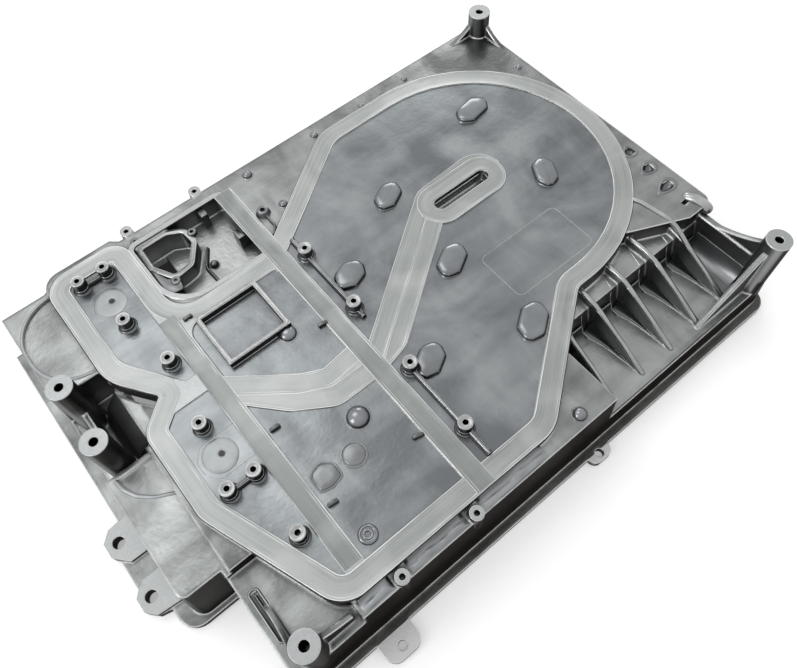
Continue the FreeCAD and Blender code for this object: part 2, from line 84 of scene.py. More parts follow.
def at(x, y, z=LAND):
    """A plan position in millimetres from the datum, as a point of the frame in metres."""
    return Vector(((x - ORIGIN[0]) * MM, (y - ORIGIN[1]) * MM, z * MM))


# Shader helpers

LEVEL_TOLERANCE = 0.00015   # how near to its level a machined face lies, in metres
TURNED_TONES = ((0.33, 0.345, 0.345), (0.42, 0.43, 0.43))
FRESH_CUT = (0.75, 0.75, 0.74)
# painted light and shade: highlights on edges, light in some deep places, the dark reflection on the near
# wall, shade in hollows
PAINTED_EDGE_HIGHLIGHT = (0.80, 0.81, 0.80)
PAINTED_HOLLOW_LIGHT = (0.5, 0.51, 0.51)
PAINTED_DARK_REFLECTION = (0.028, 0.024, 0.021)
PAINTED_HOLLOW_SHADE = (0.026, 0.025, 0.024)


class Nodes:
    """A material's node tree with short calls for what the materials share."""

    def __init__(self, name):
        self.material = bpy.data.materials.new(name)
        self.material.use_nodes = True
        self.tree = self.material.node_tree
        self.bsdf = self.tree.nodes["Principled BSDF"]
        self.coordinates = self.tree.nodes.new("ShaderNodeTexCoord")
        self.geometry = self.tree.nodes.new("ShaderNodeNewGeometry")

    def put(self, socket, value):
        if isinstance(value, bpy.types.NodeSocket):
            self.tree.links.new(value, socket)
        else:
            socket.default_value = value

    def noise(self, scale, detail=4.0, stretch=(1, 1, 1), source=None, distortion=0.0):
        mapping = self.tree.nodes.new("ShaderNodeMapping")
        mapping.inputs["Scale"].default_value = stretch
        self.put(mapping.inputs["Vector"], source or self.coordinates.outputs["Object"])
        node = self.tree.nodes.new("ShaderNodeTexNoise")
        node.inputs["Scale"].default_value = scale
        node.inputs["Detail"].default_value = detail
        node.inputs["Distortion"].default_value = distortion
        self.put(node.inputs["Vector"], mapping.outputs["Vector"])
        return node.outputs["Fac"]

    def ramp(self, value, low, high):
        """Zero at low, one at high, held beyond both; low may be the greater value."""
        node = self.tree.nodes.new("ShaderNodeMapRange")
        node.clamp = True
        node.inputs["From Min"].default_value = low
        node.inputs["From Max"].default_value = high
        self.put(node.inputs["Value"], value)
        return node.outputs["Result"]

    def math(self, operation, a, b=0.0, c=0.0, clamp=False):
        node = self.tree.nodes.new("ShaderNodeMath")
        node.operation = operation
        node.use_clamp = clamp
        for socket, value in zip(node.inputs, (a, b, c)):
            self.put(socket, value)
        return node.outputs["Value"]

    def mix(self, factor, a, b):
        node = self.tree.nodes.new("ShaderNodeMix")
        node.data_type = "RGBA"
        self.put(node.inputs["Factor"], factor)
        self.put(node.inputs[6], (*a, 1) if isinstance(a, tuple) else a)
        self.put(node.inputs[7], (*b, 1) if isinstance(b, tuple) else b)
        return node.outputs[2]

    def separate(self, vector):
        node = self.tree.nodes.new("ShaderNodeSeparateXYZ")
        self.put(node.inputs["Vector"], vector)
        return node.outputs

    def bump(self, height, strength, distance, normal=None):
        node = self.tree.nodes.new("ShaderNodeBump")
        node.inputs["Strength"].default_value = strength
        node.inputs["Distance"].default_value = distance
        self.put(node.inputs["Height"], height)
        if normal is not None:
            self.put(node.inputs["Normal"], normal)
        return node.outputs["Normal"]

    def bevel(self, radius, samples=8):
        node = self.tree.nodes.new("ShaderNodeBevel")
        node.samples = samples
        self.put(node.inputs["Radius"], radius)
        return node.outputs["Normal"]

    def edges(self, rounded, low=0.05, high=0.24):
        """One along the edges of the solid, zero on its faces."""
        node = self.tree.nodes.new("ShaderNodeVectorMath")
        node.operation = "DOT_PRODUCT"
        self.put(node.inputs[0], rounded)
        self.put(node.inputs[1], self.geometry.outputs["Normal"])
        return self.ramp(self.math("SUBTRACT", 1.0, node.outputs["Value"]), low, high)

    def occlusion(self, distance, samples=8):
        node = self.tree.nodes.new("ShaderNodeAmbientOcclusion")
        node.samples = samples
        node.inputs["Distance"].default_value = distance
        return node.outputs["AO"]

    def near(self, value, target, width):
        """One where a value lies within a width of a target, else zero."""
        gap = self.math("ABSOLUTE", self.math("SUBTRACT", value, target))
        return self.math("LESS_THAN", gap, width)

    def inside(self, place, low_x, low_y, high_x, high_y):
        """One within a plan rectangle, given in millimetres from the datum."""
        low, high = at(low_x, low_y), at(high_x, high_y)
        half = (high - low) / 2
        across = self.near(place[0], low.x + half.x, half.x)
        along = self.near(place[1], low.y + half.y, half.y)
        return self.math("MULTIPLY", across, along)


def facing(n, normal):
    """How far a wall faces the far left, from zero to one; walls are painted lighter the more they face it.
    """
    lean = n.math("MULTIPLY_ADD", normal[0], -0.7, n.math("MULTIPLY", normal[1], 0.7))
    return n.ramp(lean, -0.35, 0.95)


def cast_metal(name, light, dark, lit_wall_tone, shaded_wall_tone, machined_levels, grain=1.0, soft_radius=0.0034):
    """As-cast aluminium with cloudy flow marks that also serve as painted reflections, dark walls with
    painted light and shade, pale edges as painted highlights, painted shade and light in hollows, and
    machined tops.
    """
    n = Nodes(name)
    normal = n.separate(n.geometry.outputs["Normal"])
    place = n.separate(n.coordinates.outputs["Object"])
    # cloudy flow marks, with contrast strong enough to stand for painted reflections too
    clouds = n.noise(12.0, 6.0, distortion=1.2)
    stains = n.noise(34.0, 5.0, stretch=(1.0, 0.55, 1.0), distortion=0.8)
    streaks = n.noise(26.0, 4.0, stretch=(0.35, 2.4, 1.0))
    mottled = n.math("ADD", n.math("MULTIPLY", clouds, 0.5), n.math("MULTIPLY", stains, 0.28))
    mottled = n.math("ADD", mottled, n.math("MULTIPLY", streaks, 0.22))
    colour = n.mix(n.ramp(mottled, 0.40, 0.60), dark, light)
    specks = n.ramp(n.noise(240.0, 3.0), 0.62, 0.8)
    colour = n.mix(n.math("MULTIPLY", specks, 0.25), colour, tuple(c * 0.6 for c in dark))
    # steep walls get painted light and shade: pale where they face the far left, dark where they face away
    wall = n.ramp(normal[2], 0.9, 0.45)
    wall_tone = n.mix(facing(n, normal), shaded_wall_tone, lit_wall_tone)
    # pale patches on the walls are painted reflections
    patches = n.ramp(n.noise(20.0, 4.0, stretch=(1, 1, 0.5), distortion=0.4), 0.44, 0.74)
    wall_tone = n.mix(n.math("MULTIPLY", patches, 0.28), wall_tone, lit_wall_tone)
    # round posts and corners catch a streak of light on their near left
    lean = n.math("MULTIPLY_ADD", normal[0], -0.78, n.math("MULTIPLY", normal[1], -0.62))
    streak = n.math("MULTIPLY", n.ramp(lean, 0.93, 1.0), 0.75)
    wall_tone = n.mix(streak, wall_tone, light)
    colour = n.mix(wall, colour, wall_tone)
    # painted dark reflection: the near long side is nearly black down to its flange
    below = n.math("LESS_THAN", place[2], (RIGHT_CORNER - 0.5) * MM)
    low_wall = n.math("MULTIPLY", n.inside(place, *NEAR_WALL), below)
    below = n.ramp(place[2], DECK * MM, (DECK - 1) * MM)
    high_wall = n.math("MULTIPLY", n.inside(place, *NEAR_WALL_TOP), below)
    outer = n.math("MAXIMUM", low_wall, high_wall)
    colour = n.mix(n.math("MULTIPLY", outer, 0.78), colour, PAINTED_DARK_REFLECTION)
    # machined tops of posts and lands
    machined = 0.0
    for level in machined_levels:
        machined = n.math("ADD", machined, n.near(place[2], level * MM, LEVEL_TOLERANCE))
    at_flange = n.near(place[2], FLANGE_TOP * MM, LEVEL_TOLERANCE)
    tabs = n.math("MULTIPLY", at_flange, n.inside(place, *FLANGE_TABS))
    machined = n.math("ADD", machined, tabs)
    flat = n.math("GREATER_THAN", normal[2], 0.995)
    machined = n.math("MULTIPLY", machined, flat, clamp=True)
    turning = n.noise(420.0, 2.0)
    colour = n.mix(machined, colour, n.mix(turning, *TURNED_TONES))
    colour = n.mix(n.math("MULTIPLY", tabs, 0.5), colour, FRESH_CUT)
    # painted highlights along the edges, painted shade in the hollows
    rounded = n.bevel(n.math("MULTIPLY_ADD", machined, 0.0008 - soft_radius, soft_radius))
    edge = n.math("MULTIPLY", n.edges(rounded, 0.07, 0.21), n.ramp(n.noise(55.0, 3.0), 0.1, 0.45))
    colour = n.mix(n.math("MULTIPLY", edge, 0.9), colour, PAINTED_EDGE_HIGHLIGHT)
    hollow = n.ramp(n.occlusion(0.010), 0.8, 0.1)
    colour = n.mix(n.math("MULTIPLY", hollow, 0.55), colour, PAINTED_HOLLOW_SHADE)
    # painted light in some deep places, apart from their faces that look down
    pale = 0.0
    for share, *rectangle in LIT_HOLLOWS:
        pale = n.math("MULTIPLY_ADD", n.inside(place, *rectangle), share, pale)
    pale = n.math("MULTIPLY", pale, n.ramp(place[2], STRIP * MM, BENCH * MM))
    pale = n.math("MULTIPLY", pale, n.ramp(normal[2], -0.9, -0.5))
    colour = n.mix(pale, colour, PAINTED_HOLLOW_LIGHT)
    n.put(n.bsdf.inputs["Base Color"], colour)
    n.bsdf.inputs["Metallic"].default_value = 0.94
    n.bsdf.inputs["Specular IOR Level"].default_value = 0.15
    n.bsdf.inputs["Specular Tint"].default_value = (0.35, 0.35, 0.35, 1)
    rough = n.math("MULTIPLY_ADD", n.noise(25.0, 4.0), 0.25, 0.2)
    n.put(n.bsdf.inputs["Roughness"], n.math("MULTIPLY_ADD", machined, 0.12, rough))
    skin = n.math("ADD", n.noise(330.0, 3.0), n.math("MULTIPLY", n.noise(45.0, 3.0), 2.0))
    n.put(n.bsdf.inputs["Normal"], n.bump(skin, 0.25 * grain, 0.0007, rounded))
    return n.material


def weld_metal(name, low, high, cloud):
    """The milled weld band: pale and satin, with fine runs along it and bright lines at its edges that are
    painted highlights.
    """
    n = Nodes(name)
    uv = n.coordinates.outputs["UV"]
    across = n.separate(uv)[1]
    along = n.noise(1.0, 4.0, stretch=(9.0, 520.0, 1.0), source=uv)
    patches = n.noise(20.0, 5.0, distortion=0.7)
    colour = n.mix(n.ramp(along, 0.3, 0.7), low, high)
    colour = n.mix(n.math("MULTIPLY", n.ramp(patches, 0.42, 0.62), 0.75), colour, cloud)
    offset = n.math("ABSOLUTE", n.math("SUBTRACT", n.math("DIVIDE", across, BAND * MM), 0.5))
    rail = n.math("MULTIPLY", n.near(offset, 0.38, 0.014), n.ramp(n.noise(28.0, 2.0), 0.45, 0.6))
    colour = n.mix(n.math("MULTIPLY", rail, 0.6), colour, (0.78, 0.79, 0.77))
    # bright lines along the edges: painted highlights
    broken = n.math("MULTIPLY_ADD", n.ramp(n.noise(22.0, 3.0), 0.35, 0.6), 0.6, 0.25)
    line = n.math("MULTIPLY", n.ramp(offset, 0.46, 0.48), broken)
    colour = n.mix(line, colour, (0.85, 0.86, 0.84))
    n.put(n.bsdf.inputs["Base Color"], colour)
    n.bsdf.inputs["Metallic"].default_value = 0.85
    n.put(n.bsdf.inputs["Roughness"], n.math("MULTIPLY_ADD", along, 0.2, 0.3))
    n.put(n.bsdf.inputs["Normal"], n.bump(along, 0.2, 0.0004))
    return n.material


def plain_metal(name, colour, roughness, scale=120.0, edge_highlight=(0.75, 0.76, 0.75), hollow_share=0.8):
    """Metal with fine mottling, painted highlights along its edges, painted shade on walls on the lee side
    and painted light on the others, and painted shade in hollows.
    """
    n = Nodes(name)
    normal = n.separate(n.geometry.outputs["Normal"])
    mottled = n.noise(scale, 4.0)
    tone = n.mix(n.ramp(mottled, 0.3, 0.7), tuple(c * 0.72 for c in colour), colour)
    # painted light and shade on the walls
    wall = n.ramp(normal[2], 0.97, 0.4)
    wall_tone = n.mix(facing(n, normal), tuple(c * 0.16 for c in colour), tuple(c * 1.15 for c in colour))
    tone = n.mix(n.math("MULTIPLY", wall, 0.85), tone, wall_tone)
    rounded = n.bevel(0.0006)
    # painted highlights along the edges, painted shade in the hollows
    tone = n.mix(n.math("MULTIPLY", n.edges(rounded), 0.7), tone, edge_highlight)
    hollow = n.ramp(n.occlusion(0.008), 0.85, 0.2)
    tone = n.mix(n.math("MULTIPLY", hollow, hollow_share), tone, (0.02, 0.02, 0.02))
    n.put(n.bsdf.inputs["Base Color"], tone)
    n.bsdf.inputs["Metallic"].default_value = 0.9
    n.put(n.bsdf.inputs["Roughness"], n.math("MULTIPLY_ADD", mottled, 0.15, roughness))
    n.put(n.bsdf.inputs["Normal"], n.bump(mottled, 0.12, 0.0003, rounded))
    return n.material


casting_metal = cast_metal(
    "casting_metal", light=(0.34, 0.355, 0.35), dark=(0.12, 0.126, 0.125),
    lit_wall_tone=(0.21, 0.215, 0.215), shaded_wall_tone=(0.062, 0.06, 0.058), machined_levels=(POST_TOP, LAND, LUG_TOP)
)
cover_metal = cast_metal(
    "cover_metal", light=(0.285, 0.303, 0.31), dark=(0.15, 0.16, 0.167),
    lit_wall_tone=(0.26, 0.265, 0.27), shaded_wall_tone=(0.045, 0.045, 0.046),
    machined_levels=(STUD_TOP, FRAME_TOP, LAND), grain=0.7, soft_radius=0.0011
)
weld_band = weld_metal("weld_band_metal", (0.26, 0.275, 0.272), (0.35, 0.365, 0.36), (0.40, 0.412, 0.405))
pass_metal = weld_metal("weld_pass_metal", (0.19, 0.205, 0.2), (0.25, 0.265, 0.26), (0.31, 0.325, 0.32))
pipe_metal = plain_metal("pipe_metal", (0.55, 0.55, 0.56), 0.2)
pad_metal = plain_metal("pad_metal", (0.25, 0.262, 0.272), 0.16, 40.0, (0.72, 0.75, 0.8))
dome_metal = plain_metal("dome_metal", (0.28, 0.29, 0.305), 0.16, 60.0)
fillet_metal = plain_metal("fillet_metal", (0.24, 0.25, 0.255), 0.24, 90.0)
machined_metal = plain_metal("machined_metal", (0.42, 0.43, 0.43), 0.25, 300.0)
scribe_metal = plain_metal("scribe_metal", (0.42, 0.43, 0.43), 0.3, 200.0)
# a paler copy with painted highlights, for the rib crests and the corner hump
crest_metal = plain_metal("crest_metal", (0.46, 0.47, 0.47), 0.16, 90.0, (0.85, 0.86, 0.85))
# a darker copy with painted shade, for the rib flares and the small tabs
flare_metal = plain_metal("flare_metal", (0.15, 0.156, 0.158), 0.14, 30.0)
# a paler copy with painted sheen, for the wall cove, the rims and the near swells
sheen_metal = plain_metal("sheen_metal", (0.36, 0.375, 0.385), 0.3, 24.0)
# bright metal for painted highlight lines at the feet of the flares
highlight_line_metal = plain_metal("highlight_line_metal", (0.72, 0.73, 0.72), 0.2, 150.0, (0.85, 0.86, 0.85), 0.2)
disc_metal = plain_metal("disc_metal", (0.31, 0.325, 0.33), 0.3, 90.0, (0.45, 0.46, 0.46))
dark_metal = plain_metal("shadowed_metal", (0.05, 0.05, 0.05), 0.3, 200.0, (0.25, 0.25, 0.25))


def assign(node, material):
    """Gives a frame node its finish through its object's material slots."""
    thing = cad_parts[node]
    for slot in thing.material_slots:
        slot.link = "OBJECT"
        slot.material = material


assign("housing_casting", casting_metal)
assign("channel_cover", cover_metal)
assign("inlet_pipe", pipe_metal)
assign("outlet_pipe", pipe_metal)


# Mesh helpers


def finish_piece(name, mesh, material):
    """Turns a bmesh into a piece of the part."""
    bmesh.ops.remove_doubles(mesh, verts=mesh.verts, dist=1e-7)
    bmesh.ops.recalc_face_normals(mesh, faces=mesh.faces)
    for face in mesh.faces:
        face.smooth = True
    data = bpy.data.meshes.new(name)
    mesh.to_mesh(data)
    mesh.free()
    data.materials.append(material)
    thing = bpy.data.objects.new(name, data)
    bpy.context.collection.objects.link(thing)
    data.set_sharp_from_angle(angle=math.radians(50))
    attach(thing, "root")
    return thing


def swung(x, y, u, v, turn):
    """The plan point u along and v across from x, y, on axes turned by some degrees."""
    cos, sin = math.cos(math.radians(turn)), math.sin(math.radians(turn))
    return x + u * cos - v * sin, y + u * sin + v * cos


def bridge(mesh, rings):
    """Faces from each closed ring of vertices to the next."""
    for low, high in zip(rings, rings[1:]):
        for k in range(len(low)):
            j = (k + 1) % len(low)
            mesh.faces.new((low[k], low[j], high[j], high[k]))


def close_ends(mesh, rings):
    """Caps on the first and on the last ring."""
    mesh.faces.new(rings[0])
    mesh.faces.new(list(reversed(rings[-1])))


def path(corners, closed=True, step=0.12):
    """Points along straight runs and tangent arcs through corners, each (x, y, radius)."""
    points = []
    count = len(corners)
    for i, (x, y, radius) in enumerate(corners):
        here = Vector((x, y))
        if radius == 0 or (not closed and i in (0, count - 1)):
            points.append(here)
            continue
        back = (Vector(corners[i - 1][:2]) - here).normalized()
        ahead = (Vector(corners[(i + 1) % count][:2]) - here).normalized()
        half = back.angle(ahead) / 2
        centre = here + (back + ahead).normalized() * radius / math.sin(half)
        first = here + back * radius / math.tan(half) - centre
        turn = math.pi - 2 * half
        side = 1 if back.cross(ahead) < 0 else -1
        pieces = max(2, int(turn / step))
        for k in range(pieces + 1):
            angle = side * turn * k / pieces
            cos, sin = math.cos(angle), math.sin(angle)
            points.append(centre + Vector((first.x * cos - first.y * sin, first.x * sin + first.y * cos)))
    kept = [points[0]]
    for point in points[1:]:
        if (point - kept[-1]).length > 0.05:
            kept.append(point)
    if closed and (kept[-1] - kept[0]).length < 0.05:
        kept.pop()
    return kept


def sweep(name, corners, profile, level, material, closed=True):
    """A closed section of (offset, height) points carried along a plan path, with UVs in metres."""
    line = path(corners, closed)
    count = len(line)
    width = max(p[0] for p in profile) - min(p[0] for p in profile)
    rows = []
    travelled = 0.0
    for i, point in enumerate(line):
        before = line[i - 1] if closed or i else None
        after = line[(i + 1) % count] if closed or i < count - 1 else None
        turn_out = (after - point).normalized() if after is not None else (point - before).normalized()
        turn_in = (point - before).normalized() if before is not None else turn_out
        across = Vector((-(turn_in + turn_out).y, (turn_in + turn_out).x)).normalized()
        stretch = 1 / max(0.5, across.dot(Vector((-turn_in.y, turn_in.x))))
        if i:
            travelled += (point - line[i - 1]).length
        rows.append((point, across * stretch, travelled))
    mesh = bmesh.new()
    layer = mesh.loops.layers.uv.new("UVMap")
    sections = []
    for point, across, run in rows:
        section = [mesh.verts.new(at(*(point + across * u), level + v)) for u, v in profile]
        sections.append((section, run))
    pairs = list(zip(sections, sections[1:]))
    if closed:
        last_run = travelled + (line[0] - line[-1]).length
        pairs.append((sections[-1], (sections[0][0], last_run)))
    size = len(profile)
    for (a, run_a), (b, run_b) in pairs:
        for k in range(size):
            j = (k + 1) % size
            face = mesh.faces.new((a[k], b[k], b[j], a[j]))
            marks = ((run_a, k), (run_b, k), (run_b, j), (run_a, j))
            for loop, (run, which) in zip(face.loops, marks):
                loop[layer].uv = (run * MM, (profile[which][0] + width / 2) * MM)
    if not closed:
        mesh.faces.new(sections[0][0])
        mesh.faces.new(list(reversed(sections[-1][0])))
    return finish_piece(name, mesh, material)


def band_profile(width, root=0.4):
    """A weld band: nearly flat, with a thin burr along both edges, rooted in the land."""
    half = width / 2
    return [
        (-half, -root), (-half, 0.0), (-half + 0.25, 0.14), (-half + 0.6, 0.04), (-half * 0.3, 0.06),
        (half * 0.3, 0.06), (half - 0.6, 0.04), (half - 0.25, 0.14), (half, 0.0), (half, -root),
    ]


def ridge_profile(width, height):
    """A low rib with a rounded crest."""
    half = width / 2
    return [
        (-half, -0.4), (-half, 0.0), (-half * 0.75, height * 0.45), (-half * 0.4, height * 0.88), (0, height),
        (half * 0.4, height * 0.88), (half * 0.75, height * 0.45), (half, 0.0), (half, -0.4),
    ]


def turned(name, x, y, level, profile, material, pieces=40):
    """A section of (radius, height) turned about an upright line."""
    mesh = bmesh.new()
    rings = []
    for radius, height in profile:
        if radius == 0:
            rings.append([mesh.verts.new(at(x, y, level + height))] * pieces)
            continue
        ring = []
        for k in range(pieces):
            angle = 2 * math.pi * k / pieces
            place = (x + radius * math.cos(angle), y + radius * math.sin(angle))
            ring.append(mesh.verts.new(at(*place, level + height)))
        rings.append(ring)
    closed = profile[0][0] != 0 and profile[-1][0] != 0
    pairs = list(zip(rings, rings[1:])) + ([(rings[-1], rings[0])] if closed else [])
    for low, high in pairs:
        for k in range(pieces):
            j = (k + 1) % pieces
            corners = []
            for vertex in (low[k], low[j], high[j], high[k]):
                if vertex not in corners:
                    corners.append(vertex)
            if len(corners) > 2:
                mesh.faces.new(corners)
    return finish_piece(name, mesh, material)


def crowned(name, outline, level, profile, material):
    """A closed cushion-like form: an outline drawn in ring by ring, each (share, height)."""
    line = path(outline, step=0.25)
    centre = sum(line, Vector((0, 0))) / len(line)
    mesh = bmesh.new()
    rings = []
    for share, height in profile:
        rings.append([mesh.verts.new(at(*(centre + (p - centre) * share), level + height)) for p in line])
    bridge(mesh, rings)
    close_ends(mesh, rings[::-1])
    return finish_piece(name, mesh, material)


def bead(name, points, radius, material, sides=10):
    """A round bar through points (x, y, z), with closed ends."""
    spots = [at(*p) for p in points]
    sizes = [1.0] * len(spots)
    first, last = spots[0], spots[-1]
    lead_in, lead_out = (first - spots[1]).normalized(), (last - spots[-2]).normalized()
    for angle in (0.5, 0.95, 1.35):
        reach = math.sin(angle) * radius * MM
        spots = [first + lead_in * reach] + spots + [last + lead_out * reach]
        sizes = [math.cos(angle)] + sizes + [math.cos(angle)]
    mesh = bmesh.new()
    rings = []
    for i, spot in enumerate(spots):
        before = spots[max(i - 1, 0)]
        after = spots[min(i + 1, len(spots) - 1)]
        ahead = (after - before).normalized()
        side = ahead.cross(Vector((0, 0, 1)))
        side = side.normalized() if side.length > 1e-6 else Vector((1, 0, 0))
        top = side.cross(ahead)
        ring = []
        for k in range(sides):
            angle = 2 * math.pi * k / sides
            spread = side * math.cos(angle) + top * math.sin(angle)
            ring.append(mesh.verts.new(spot + spread * radius * sizes[i] * MM))
        rings.append(ring)
    bridge(mesh, rings)
    close_ends(mesh, rings)
    return finish_piece(name, mesh, material)


# Weld bands; each lies a hair above those that it crosses

band = band_profile(BAND)
sweep("weld_rim", SEAM, band, LAND + 0.02, weld_band)
SHADOW_LINE = [(-8.2, -1.6), (-7.35, -1.6), (-7.35, -0.3), (-8.2, -0.9)]
sweep("weld_rim_shadow", SEAM, SHADOW_LINE, LAND, dark_metal)
LOWER_PASS = [(112, 188.8, 0), (133, 193.8, 14), (226, 260.1, 0)]
UPPER_PASS = [(112, 192.8, 0), (234.5, 281.1, 18), (295.3, 284.3, 14), (295.3, 268, 0)]
SLOT_RING = [(226.6, 254.4, 12.5), (295.1, 254.4, 12.5), (295.1, 279.6, 12.5), (226.6, 279.6, 12.5)]
sweep("weld_divider_lower", LOWER_PASS, band, LAND + 0.04, weld_band, closed=False)
sweep("weld_divider_upper", UPPER_PASS, band, LAND + 0.15, weld_band, closed=False)
sweep("weld_slot_ring", SLOT_RING, band_profile(13.4, 1.4), LAND + 0.26, weld_band)
LEFT_LOWER_PASS = [(21, 237, 0), (49.5, 205.5, 12), (75.5, 188.3, 14), (112, 188.3, 0)]
LEFT_UPPER_PASS = [(16, 248.3, 0), (61.5, 212.3, 15), (80, 203, 12), (112, 206.8, 0)]
sweep("weld_divider_left_lower", LEFT_LOWER_PASS, band, LAND + 0.04, weld_band, closed=False)
sweep("weld_divider_left_upper", LEFT_UPPER_PASS, band, LAND + 0.15, weld_band, closed=False)
LEFT_PASS = [(16.75, 92, 0), (16.75, 318, 0)]
sweep("weld_left_pass", LEFT_PASS, band_profile(13.5), LAND + 0.28, pass_metal, closed=False)
MIDDLE_PASS = [(111.75, 76, 0), (111.75, 392, 0)]
sweep("weld_middle_pass", MIDDLE_PASS, band, LAND + 0.30, pass_metal, closed=False)


# Raised pads with sloping sides and crowned tops

PAD_RINGS = [(1.12, -0.4), (1.11, 0.08), (1.07, 0.35), (1.045, 1.2), (1.03, 2.5), (0.98, 3.2), (0.87, 3.9),
             (0.7, 4.3), (0.45, 4.5), (0.2, 4.55)]
for number, (x, y, length, width, turn) in enumerate(PADS, start=1):
    cut_off = width * 0.36
    corners = []
    for u, v in ((-1, -1), (1, -1), (1, 1), (-1, 1)):
        ends = [(length / 2, width / 2 - cut_off), (length / 2 - cut_off, width / 2)]
        if u * v < 0:
            ends.reverse()
        for du, dv in ends:
            corners.append((*swung(x, y, u * du, v * dv, turn), 6))
    crowned(f"pad_crown_{number}", corners, FLOOR, PAD_RINGS, pad_metal)


# Studs: turned caps, cast skirts and the ribs that join them

CAP = [(5.05, -1.6), (5.4, -1.5), (5.4, -0.5), (5.05, 0.15), (2.75, 0.15), (2.15, -0.4), (2.15, -1.6)]
SKIRT = [(5.0, -0.3), (7.4, -0.3), (7.2, 0.1), (6.3, 0.5), (5.6, 1.4), (5.33, 3.4), (5.0, 3.4)]
for number, (x, y) in enumerate(STUDS, start=1):
    turned(f"stud_cap_{number}", x, y, STUD_TOP, CAP, machined_metal)
    turned(f"stud_skirt_{number}", x, y, FLOOR, SKIRT, cover_metal)

STUD_RIBS = [
    (128.2, 316, 128.8, 225), (128.2, 172, 128.2, 90), (1.9, 383.7, -18.7, 384.4), (2.5, 178, -17.6, 178.3),
]
for number, (x0, y0, x1, y1) in enumerate(STUD_RIBS, start=1):
    ends = [(x0, y0, 0), (x1, y1, 0)]
    sweep(f"stud_rib_{number}", ends, ridge_profile(5.0, 3.9), FLOOR, cover_metal, closed=False)


# Domes


def dome(name, x, y, level, radius, height, material, lip=0.5):
    """A shallow dome in a thin raised ring."""
    profile = [(0, -0.5), (radius + lip + 0.6, -0.5), (radius + lip + 0.5, 0.12), (radius + lip, 0.3)]
    profile += [(radius + 0.15, 0.18)]
    for step in range(9):
        angle = math.pi / 2 * step / 8
        profile.append((radius * math.cos(angle) if step < 8 else 0, 0.15 + height * math.sin(angle)))
    turned(name, x, y, level, profile, material, 36)


DOMES = [
    ("dome_large", 77.7, 166.4, FLOOR, 8.4, 6.2), ("dome_frame", 78.4, 250.5, FLOOR, 6.6, 4.2),
    ("dome_strip_1", 138.6, 395.1, STRIP, 4.0, 3.2), ("dome_strip_2", 143.9, 350.6, STRIP, 3.4, 2.6),
    ("dome_strip_3", 206.4, 394.1, STRIP, 3.2, 2.4), ("dome_strip_4", 257.2, 394.2, STRIP, 2.8, 2.0),
    ("dome_strip_5", 306.2, 394.8, STRIP, 2.8, 2.0), ("dome_strip_6", 392.2, 338.1, STRIP, 3.0, 2.2),
    ("dome_near", 195.9, 73.1, DECK, 5.2, 4.4),
]
for name, x, y, level, radius, height in DOMES:
    dome(name, x, y, level, radius, height, dome_metal)


# Lip of the square frame, and discs with an eccentric sink hole and their run-outs


def ring_plate(name, x, y, radius, hole, level, height, material, pieces=48):
    """A low disc with a hole off its middle; hole is (dx, dy, radius)."""
    dx, dy, hole_radius = hole
    mesh = bmesh.new()
    shares = [
        (0.0, -0.3), (0.0, height * 0.4), (0.05, height), (0.3, height), (0.6, height), (0.9, height),
        (1.0, height * 0.6), (1.06, -0.3),
    ]
    rings = []
    for share, z in shares:
        ring = []
        for k in range(pieces):
            angle = 2 * math.pi * k / pieces
            cos, sin = math.cos(angle), math.sin(angle)
            outer = Vector((radius * cos, radius * sin))
            inner = Vector((dx + hole_radius * cos, dy + hole_radius * sin))
            spot = outer.lerp(inner, share)
            ring.append(mesh.verts.new(at(x + spot.x, y + spot.y, level + z)))
        rings.append(ring)
    bridge(mesh, rings + rings[:1])
    return finish_piece(name, mesh, material)


FRAME_LINE = [(33.75, 255.25, 2), (82.55, 255.25, 2), (82.55, 300.05, 2), (33.75, 300.05, 2)]
LIP = [(-1.6, -0.5), (-1.6, 0.1), (-1.2, 0.4), (-0.7, 0.1), (0.7, 0.1), (1.2, 0.4), (1.6, 0.1), (1.6, -0.5)]
sweep("frame_lip", FRAME_LINE, LIP, FRAME_TOP, machined_metal)
scribe = ridge_profile(0.5, 0.07)
HOLE_X, HOLE_Y = 1.4, 0.6   # from a disc's middle to its hole
PLUG = [(0, -0.3), (2.4, -0.3), (2.4, 0.05), (1.2, 0.02), (0, 0.0)]
for label, x, y in (("far", -8.4, 359.4), ("near", -9.0, 204.3)):
    ring_plate(f"disc_{label}", x, y, 12.6, (HOLE_X, HOLE_Y, 2.3), FLOOR, 0.22, disc_metal)
    # a flat dark plug at the bottom of each hole: painted shade
    turned(f"disc_hole_{label}", x + HOLE_X, y + HOLE_Y, FLOOR, PLUG, dark_metal, 24)
    run_out = [(9.5, y + 14, 0), (x - 8, y + 14, 7), (x - 15, y + 5, 6), (x - 15, y - 6, 6)]
    run_out += [(x - 8, y - 14.5, 7), (9.5, y - 14.5, 0)]
    sweep(f"run_out_{label}", run_out, scribe, FLOOR, scribe_metal, closed=False)


# Embossed marks and small tabs on the floors

BUTTON = [(0, -0.3), (9.6, -0.3), (9.4, 0.35), (8.4, 0.55), (7.9, 0.1), (7.4, 0.75), (6.8, 0.95), (0, 0.95)]
turned("round_boss", 59.7, 147.4, FLOOR, BUTTON, fillet_metal)
D_SHAPE = [(27.5, 141, 3), (36, 138.8, 3), (45.3, 141, 3), (46, 151, 5), (38.5, 157.5, 5), (28, 154.5, 5)]
D_RINGS = [(1.12, -0.3), (1.1, 0.4), (1.02, 0.6), (0.96, 0.1), (0.88, 0.9), (0.82, 1.1), (0.4, 1.1)]
crowned("d_boss", D_SHAPE, FLOOR, D_RINGS, fillet_metal)
RINGED = [(2.2, -0.3), (6.8, -0.3), (6.6, 0.6), (5.6, 1.4), (4.9, 1.5), (4.5, 0.7), (3.6, 0.6), (3.2, 1.3),
          (2.2, 1.2)]
turned("ringed_boss", 34.7, 100.6, FLOOR, RINGED, dome_metal)
